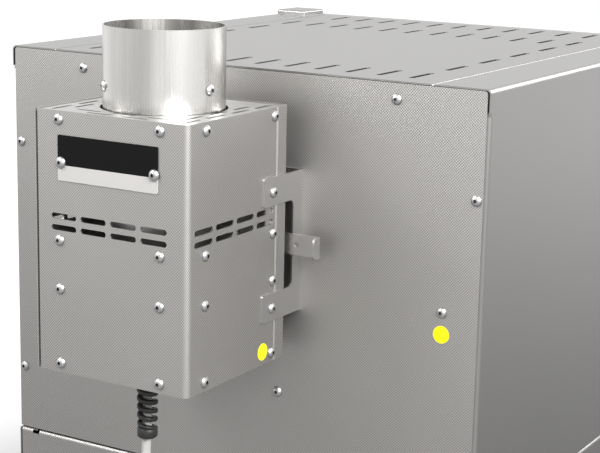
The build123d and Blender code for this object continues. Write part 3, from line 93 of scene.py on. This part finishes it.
class Material:
    """A node material that is built one step at a time."""

    def __init__(self, name, colour, metallic=0.0, roughness=0.5):
        self.data = bpy.data.materials.new(name)
        self.data.use_nodes = True
        self.tree = self.data.node_tree
        self.shader = self.tree.nodes["Principled BSDF"]
        self.shader.inputs["Base Color"].default_value = (*colour, 1.0)
        self.shader.inputs["Metallic"].default_value = metallic
        self.shader.inputs["Roughness"].default_value = roughness
        self.coords = self.node("ShaderNodeTexCoord").outputs["Object"]

    def node(self, kind, **settings):
        made = self.tree.nodes.new(kind)
        for key, value in settings.items():
            setattr(made, key, value)
        return made

    def link(self, source, target):
        self.tree.links.new(source, target)

    def maths(self, operation, first, second=None, third=None):
        """A maths node. Each value is a number or another node's output."""
        made = self.node("ShaderNodeMath", operation=operation)
        for socket, value in zip(made.inputs, (first, second, third)):
            if isinstance(value, (int, float)):
                socket.default_value = value
            elif value is not None:
                self.link(value, socket)
        return made.outputs[0]

    def axes(self):
        split = self.node("ShaderNodeSeparateXYZ")
        self.link(self.coords, split.inputs[0])
        return split.outputs

    def noise(self, scale, stretch=(1, 1, 1), detail=3.0):
        """Noise over the object's own place. A small stretch along an axis draws the pattern out along it."""
        mapping = self.node("ShaderNodeMapping")
        mapping.inputs["Scale"].default_value = stretch
        self.link(self.coords, mapping.inputs["Vector"])
        made = self.node("ShaderNodeTexNoise")
        made.inputs["Scale"].default_value = scale
        made.inputs["Detail"].default_value = detail
        self.link(mapping.outputs[0], made.inputs["Vector"])
        return made.outputs["Fac"]

    def spread(self, value, low, high):
        """Maps 0..1 onto low..high."""
        made = self.node("ShaderNodeMapRange")
        self.link(value, made.inputs["Value"])
        made.inputs["To Min"].default_value = low
        made.inputs["To Max"].default_value = high
        return made.outputs["Result"]

    def mix(self, fac, first, second):
        """A colour that goes from first to second."""
        made = self.node("ShaderNodeMix", data_type="RGBA")
        self.link(fac, made.inputs["Factor"])
        made.inputs[MIX_A].default_value = (*first, 1.0)
        made.inputs[MIX_B].default_value = (*second, 1.0)
        return made.outputs[MIX_RESULT]

    def bump(self, height, strength, distance):
        made = self.node("ShaderNodeBump")
        made.inputs["Strength"].default_value = strength
        made.inputs["Distance"].default_value = distance
        self.link(height, made.inputs["Height"])
        self.link(made.outputs[0], self.shader.inputs["Normal"])

    def colour_by(self, socket):
        self.link(socket, self.shader.inputs["Base Color"])

    def rough_by(self, socket):
        self.link(socket, self.shader.inputs["Roughness"])


# ---------------------------------------------------------------- materials
weave_pitch = 0.0022  # two rows of dimples
sheet_grain = (1, 60, 60)  # the grain of smooth sheet is drawn out along x
tube_grain = (12, 12, 0.3)
# painted reflection: the stretch of the tube's broad light and dark bands
tube_reflection_bands = (1, 1, 0.04)
painted_shade_reach = 0.0025  # how near a wall the painted shade darkens bright metal
grey_share = 0.34  # of the blank plate's height


def structured_steel(name, level):
    """Stainless sheet with a rolled pattern of fine dimples in diagonal rows."""
    m = Material(name, (level, level, level), metallic=1.0, roughness=0.42)
    x, y, z = m.axes()
    wave = 2 * math.pi / weave_pitch
    along = m.maths("SINE", m.maths("MULTIPLY", m.maths("ADD", x, y), wave))
    upright = m.maths("SINE", m.maths("MULTIPLY", z, wave))
    dimple = m.maths("MULTIPLY_ADD", m.maths("MULTIPLY", along, upright), 0.5, 0.5)
    dark = (level * 0.55, level * 0.535, level * 0.52)
    light = (level * 1.3, level * 1.27, level * 1.235)
    m.colour_by(m.mix(dimple, dark, light))
    m.rough_by(m.spread(m.noise(9.0), 0.46, 0.6))
    m.bump(dimple, 0.4, 0.0003)
    return m.data


def satin_steel(name, level):
    """Smooth stainless sheet with a faint grain."""
    m = Material(name, (level, level, level), metallic=1.0, roughness=0.34)
    streak = m.noise(30.0, sheet_grain, 4.0)
    dark = (level * 0.94, level * 0.925, level * 0.91)
    light = (level * 1.06, level * 1.045, level * 1.03)
    m.colour_by(m.mix(streak, dark, light))
    m.rough_by(m.spread(m.noise(6.0), 0.3, 0.38))
    m.bump(streak, 0.04, 0.0002)
    return m.data


def brushed_tube():
    """Thin rolled tube: fine streaks along its length, and broad light and dark bands up it that are painted
    reflection.
    """
    m = Material("brushed_tube", (0.5, 0.49, 0.48), metallic=1.0, roughness=0.25)
    streak = m.noise(40.0, tube_grain, 3.0)
    # painted reflection: broad light and dark bands up the tube, mixed with the real streaks
    painted_reflection = m.spread(m.noise(42.0, tube_reflection_bands, 1.0), -0.9, 1.9)
    grain_and_reflection = m.maths("MULTIPLY_ADD", streak, 0.25, painted_reflection)
    m.colour_by(m.mix(grain_and_reflection, (0.38, 0.37, 0.355), (0.72, 0.71, 0.69)))
    m.rough_by(m.spread(streak, 0.22, 0.32))
    m.bump(streak, 0.03, 0.0002)
    return m.data


def bright_steel(name, level, rough):
    """Turned and pressed bright metal, with painted shade that darkens it in its recesses."""
    m = Material(name, (level, level, level), metallic=1.0, roughness=rough)
    worn = m.noise(400.0)
    painted_shade_probe = m.node("ShaderNodeAmbientOcclusion", samples=8)
    painted_shade_probe.inputs["Distance"].default_value = painted_shade_reach
    unshaded_share = m.maths("POWER", painted_shade_probe.outputs["AO"], 2.2)
    # painted shade: the colour falls to nearly black where ambient occlusion finds walls close by
    m.colour_by(m.mix(unshaded_share, (level * 0.08,) * 3, (level,) * 3))
    m.rough_by(m.spread(worn, rough * 0.8, rough * 1.5))
    return m.data


def plastic(name, colour, rough=0.45, grain=900.0, depth=0.00005):
    """Moulded plastic or rubber with a fine grain."""
    m = Material(name, colour, roughness=rough)
    speck = m.noise(grain)
    darker = tuple(c * 0.85 for c in colour)
    lighter = tuple(min(1.0, c * 1.12 + 0.004) for c in colour)
    m.colour_by(m.mix(speck, darker, lighter))
    m.rough_by(m.spread(m.noise(30.0), rough * 0.85, min(1.0, rough * 1.15)))
    m.bump(speck, 0.25, depth)
    return m.data


def fibre_board():
    """Pressed ceramic fibre."""
    m = Material("fibre_board", (0.86, 0.85, 0.81), roughness=0.95)
    tuft = m.noise(260.0, detail=6.0)
    m.colour_by(m.mix(tuft, (0.78, 0.76, 0.71), (0.9, 0.89, 0.86)))
    m.bump(tuft, 0.5, 0.0006)
    return m.data


def fired_ceramic():
    """Dense heat-stained ceramic, as the heating plates and the floor have."""
    m = Material("fired_ceramic", (0.74, 0.68, 0.58), roughness=0.8)
    speck = m.noise(180.0, detail=5.0)
    m.colour_by(m.mix(speck, (0.66, 0.6, 0.5), (0.8, 0.75, 0.66)))
    m.bump(speck, 0.3, 0.0003)
    return m.data


def plate_print():
    """The blank plate: black above, grey below."""
    m = Material("plate_print", (0.5, 0.5, 0.5), roughness=0.35)
    low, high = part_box("nameplate")
    edge = low.z + grey_share * (high.z - low.z)
    upper = m.maths("GREATER_THAN", m.axes()[2], edge)
    m.colour_by(m.mix(upper, (0.42, 0.41, 0.40), (0.004, 0.004, 0.004)))
    m.shader.inputs["Specular IOR Level"].default_value = 0.08
    m.rough_by(m.spread(m.noise(40.0), 0.5, 0.6))
    return m.data


def dark_glass():
    """The display's cover, black when it is off."""
    m = Material("dark_glass", (0.02, 0.025, 0.03), roughness=0.08)
    haze = m.noise(12.0)
    m.colour_by(m.mix(haze, (0.012, 0.016, 0.02), (0.03, 0.036, 0.045)))
    m.rough_by(m.spread(haze, 0.05, 0.12))
    return m.data


def dress(material, *names):
    """Gives CAD nodes one material."""
    for name in names:
        mesh = nodes_of[name].data
        mesh.materials.clear()
        mesh.materials.append(material)


# ---------------------------------------------------------------- pieces
def new_piece(name, mesh_builder, material, smooth=True):
    """An object that rides on the housing, made from a bmesh."""
    mesh = bpy.data.meshes.new(name)
    mesh_builder.to_mesh(mesh)
    mesh_builder.free()
    mesh.materials.append(material)
    for face in mesh.polygons:
        face.use_smooth = smooth
    piece = bpy.data.objects.new(name, mesh)
    bpy.context.scene.collection.objects.link(piece)
    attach(piece, "housing")
    return piece


def sweep_rings(rings, closed_ends=True):
    """A bmesh skin over rings of points of equal length."""
    bm = bmesh.new()
    made = [[bm.verts.new(p) for p in ring] for ring in rings]
    for a, b in zip(made, made[1:]):
        for i in range(len(a)):
            j = (i + 1) % len(a)
            bm.faces.new((a[i], a[j], b[j], b[i]))
    if closed_ends:
        bm.faces.new(made[0][::-1])
        bm.faces.new(made[-1])
    bmesh.ops.recalc_face_normals(bm, faces=bm.faces)
    return bm


relief_outer = 0.0083
relief_inner = 0.0043
relief_turns = 6.6
relief_start = 0.6  # radians
relief_taper = 0.0006  # the spiral's radius shrinks by this much towards its lower end
end_share = 0.45  # of the band's height that is left at the spiral's two ends
end_growth = 6  # how fast the band grows to full height from there
steps_per_turn = 40
band = 0.0033  # height of the wound band
band_rounding = 0.0006
band_shoulder = 0.0009
ring_h = 0.008
ring_chamfer = 0.0012
ring_bevel = 0.001
ring_steps = 48
overlap = 0.001  # how far the spiral stays within the relief's upper end and runs into the ring


def spiral_relief(material):
    """The fan cable's bend relief: a flat band wound into a spiral, with a ring below it."""
    low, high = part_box("bend_relief")
    start, end = high.z - overlap, low.z + ring_h - overlap
    count = int(relief_turns * steps_per_turn)
    rings = []
    for i in range(count + 1):
        part = i / count
        turn = 2 * math.pi * relief_turns * part + relief_start
        out = relief_outer - relief_taper * part
        z = start + (end - start) * part
        half = band / 2 * min(1.0, end_share + end_growth * part, end_share + end_growth * (1 - part))
        section = (
            (relief_inner, half),
            (out - band_rounding, half),
            (out, half - band_shoulder),
            (out, band_shoulder - half),
            (out - band_rounding, -half),
            (relief_inner, -half),
        )
        rings.append([(r * math.cos(turn), gland_y + r * math.sin(turn), z + h) for r, h in section])
    spiral = new_piece("relief_spiral", sweep_rings(rings), material)
    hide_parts("bend_relief")
    out = relief_outer - relief_taper
    profile = (
        (relief_inner, low.z),
        (out - ring_chamfer, low.z),
        (out, low.z + ring_chamfer),
        (out, low.z + ring_h - ring_bevel),
        (out - ring_bevel, low.z + ring_h),
        (relief_inner, low.z + ring_h),
    )
    rings = []
    for i in range(ring_steps + 1):
        turn = 2 * math.pi * i / ring_steps
        rings.append([(r * math.cos(turn), gland_y + r * math.sin(turn), z) for r, z in profile])
    new_piece("relief_ring", sweep_rings(rings, closed_ends=False), material)


cable_r = 0.0035
# x, the distance behind the gland's line, and height, from the gland down and round to the plug
cable_route = [
    (0.0, 0.0, 0.3015),
    (0.0, 0.0, 0.276),
    (0.0005, 0.0001, 0.250),
    (0.0019, 0.0003, 0.224),
    (0.0036, 0.0005, 0.195),
    (0.0048, 0.0012, 0.164),
    (0.0074, 0.0026, 0.137),
    (0.0170, 0.0046, 0.1145),
    (0.0345, 0.0064, 0.098),
    (0.0585, 0.0052, 0.094),
    (0.0805, -0.0074, 0.0985),
    (0.0930, -0.0292, 0.104),
    (0.0930, -0.0520, 0.104),
]


def fan_cable(material):
    """The fan's cable, from its gland round to the socket on the lower housing."""
    curve = bpy.data.curves.new("fan_lead", "CURVE")
    curve.dimensions = "3D"
    curve.bevel_depth = cable_r
    curve.bevel_resolution = 8
    curve.resolution_u = 16
    curve.use_fill_caps = True
    line = curve.splines.new("NURBS")
    line.points.add(len(cable_route) - 1)
    for point, (x, y, z) in zip(line.points, cable_route):
        point.co = (x, gland_y + y, z, 1.0)
    line.order_u = 3
    line.use_endpoint_u = True
    curve.materials.append(material)
    cable = bpy.data.objects.new("fan_lead", curve)
    bpy.context.scene.collection.objects.link(cable)
    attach(cable, "housing")
    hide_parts("fan_cable")


dot_r = 0.0066
dot_t = 0.0002
dot_edge = 0.0001  # the dot's face is narrower than its foot by this much
dot_segments = 48


def marker_dot(name, centre, out, material):
    """A plain round sticker on a sheet."""
    bm = bmesh.new()
    bmesh.ops.create_cone(
        bm, cap_ends=True, segments=dot_segments, radius1=dot_r, radius2=dot_r - dot_edge, depth=dot_t
    )
    out = Vector(out)
    turn = out.to_track_quat("Z", "Y").to_matrix().to_4x4()
    place = Matrix.Translation(Vector(centre) + out * dot_t / 2)
    bmesh.ops.transform(bm, matrix=place @ turn, verts=bm.verts)
    new_piece(name, bm, material, smooth=False)


# ---------------------------------------------------------------- stage
def ray_kind(tree, *kinds):
    """1 for the named kinds of ray, such as Is Camera Ray, and 0 for the others."""
    path = tree.nodes.new("ShaderNodeLightPath")
    seen = path.outputs[kinds[0]]
    for other in kinds[1:]:
        either = tree.nodes.new("ShaderNodeMath")
        either.operation = "MAXIMUM"
        tree.links.new(seen, either.inputs[0])
        tree.links.new(path.outputs[other], either.inputs[1])
        seen = either.outputs[0]
    return seen


# For each kind of ray, the distances from the middle between which the floor's glow grows from its low level
# near the middle, a painted shade, to 1
floor_ramps = (
    (("Is Camera Ray",), 0.25, 0.75),
    (("Is Glossy Ray", "Is Transmission Ray"), 0.5, 3.6),
)
# painted shade: the floor's glow right by the object, a dark pool that darkens the metal's lower parts in
# reflection
painted_shade_glow = 0.02
floor_size = 12.0
floor_drop = 0.0005  # below the feet


def stage_material():
    """A pale floor that turns white away from the object and keeps the object's shadow close by; its glow
    fades towards the middle, a painted shade pool that the metal reflects.
    """
    m = Material("stage_floor", (0.2, 0.2, 0.2), roughness=0.9)
    span = m.node("ShaderNodeVectorMath", operation="LENGTH")
    m.link(m.coords, span.inputs[0])
    glows = []
    for kinds, near, far in floor_ramps:
        ramp = m.node("ShaderNodeMapRange")
        m.link(span.outputs["Value"], ramp.inputs["Value"])
        ramp.inputs["From Min"].default_value = near
        ramp.inputs["From Max"].default_value = far
        ramp.inputs["To Min"].default_value = painted_shade_glow
        glows.append(m.maths("MULTIPLY", ramp.outputs["Result"], ray_kind(m.tree, *kinds)))
    m.shader.inputs["Emission Color"].default_value = (1, 1, 1, 1)
    m.link(m.maths("MAXIMUM", *glows), m.shader.inputs["Emission Strength"])
    return m.data


def add_stage():
    bpy.ops.mesh.primitive_plane_add(size=floor_size, location=(0, 0, -floor_drop))
    floor = bpy.context.object
    floor.name = "floor"
    floor.data.materials.append(stage_material())


world_diffuse = 0.3  # light on the object
world_seen = 1.0  # what the eye and reflections meet


def add_world():
    """A white surround that lights the object less than it shows."""
    world = bpy.data.worlds.new("studio")
    bpy.context.scene.world = world
    world.use_nodes = True
    tree = world.node_tree
    background = tree.nodes["Background"]
    background.inputs["Color"].default_value = (1, 1, 1, 1)
    level = tree.nodes.new("ShaderNodeMapRange")
    level.inputs["To Min"].default_value = world_diffuse
    level.inputs["To Max"].default_value = world_seen
    seen = ray_kind(tree, "Is Camera Ray", "Is Glossy Ray", "Is Transmission Ray")
    tree.links.new(seen, level.inputs["Value"])
    tree.links.new(level.outputs[0], background.inputs["Strength"])


def add_lamp(name, place, target, size, power):
    """A soft rectangular lamp that faces its target. Its power is in watts."""
    data = bpy.data.lights.new(name, "AREA")
    data.shape = "RECTANGLE"
    data.size, data.size_y = size
    data.energy = power
    lamp = bpy.data.objects.new(name, data)
    bpy.context.scene.collection.objects.link(lamp)
    lamp.location = place
    lamp.rotation_euler = (Vector(target) - Vector(place)).to_track_quat("-Z", "Y").to_euler()


# ---------------------------------------------------------------- the scene
scene = bpy.context.scene
scene.view_settings.view_transform = "Standard"
add_camera()

structured = structured_steel("structured_steel", 0.4)
satin = satin_steel("satin_steel", 0.34)
bright_sheet = satin_steel("bright_sheet", 0.55)
black = plastic("black_plastic", (0.02, 0.02, 0.02), 0.4)
rubber = plastic("foot_rubber", (0.025, 0.025, 0.025), 0.7, 500.0)
sheath = plastic("cable_sheath", (0.55, 0.54, 0.52), 0.4, 700.0)
yellow = plastic("yellow_vinyl", (0.85, 0.86, 0.0), 0.35, 1500.0, 0.00002)
screws = bright_steel("screw_steel", 0.5, 0.3)
fibre = fibre_board()
ceramic = fired_ceramic()

dress(structured, "rear_panel", "box_cover", "box_body", "base_rear_panel")
dress(structured, "front_frame", "control_panel", "door_shell")
dress(satin, "side_panel_left", "side_panel_right", "top_cover")
dress(satin, "base_pan", "base_deck", "corner_caps", "inner_casing")
dress(bright_sheet, "box_top_plate", "box_bottom_plate", "exhaust_port", "mixing_duct")
dress(bright_sheet, "box_brackets", "damper_slide", "damper_guides")
dress(bright_sheet, "hinge_brackets", "door_hinge_bushes", "door_handle", "air_slide", "door_liner")
dress(brushed_tube(), "chimney_tube")
dress(screws, "panel_screws")
dress(rubber, "feet")
dress(fibre, "insulation_bottom", "insulation_top", "insulation_sides", "insulation_rear")
dress(fibre, "chamber_collar", "door_insulation")
dress(ceramic, "floor_plate", "heating_plates", "exhaust_liner", "terminal_blocks")
dress(bright_steel("heating_alloy", 0.25, 0.5), "heating_wires")
dress(black, "display_unit", "jog_knob", "power_rocker", "rocker_bezel", "mains_inlet", "fuse_holders")
dress(black, "cable_gland", "cable_plug", "fan_socket", "fan_impeller")
dress(plastic("green_key", (0.05, 0.32, 0.12)), "start_key")
dress(plastic("red_key", (0.5, 0.03, 0.02)), "stop_key")
dress(dark_glass(), "display_glass")
dress(bright_steel("probe_head", 0.5, 0.45), "thermocouple")
dress(bright_steel("motor_steel", 0.22, 0.4), "fan_motor")
dress(bright_steel("heat_sink", 0.4, 0.4), "power_electronics")
dress(plate_print(), "nameplate")

spiral_relief(black)
fan_cable(sheath)
# one dot near the rear panel's edge, and one on the exhaust box's side
rear_dot_x, rear_dot_drop = -0.1883, 0.1847
box_dot_out, box_dot_drop = 0.051, 0.2067
marker_dot("dot_rear", (rear_dot_x, rear_y, top_z - rear_dot_drop), (0, 1, 0), yellow)
marker_dot("dot_box", (box_low.x, rear_y + box_dot_out, top_z - box_dot_drop), (-1, 0, 0), yellow)

add_stage()
add_world()
add_lamp("key", (-1.05, 0.9, 1.25), (0, 0.25, 0.55), (0.9, 0.9), 48)
add_lamp("rear", (0.7, 1.0, 1.35), (0.05, 0.25, 0.6), (0.6, 0.6), 22)
add_lamp("front", (-1.4, -2.4, 1.8), (0, 0, 0.4), (1.6, 1.2), 40)
add_lamp("top", (0.2, -0.8, 2.8), (0, 0, 0.4), (2.2, 1.6), 12)
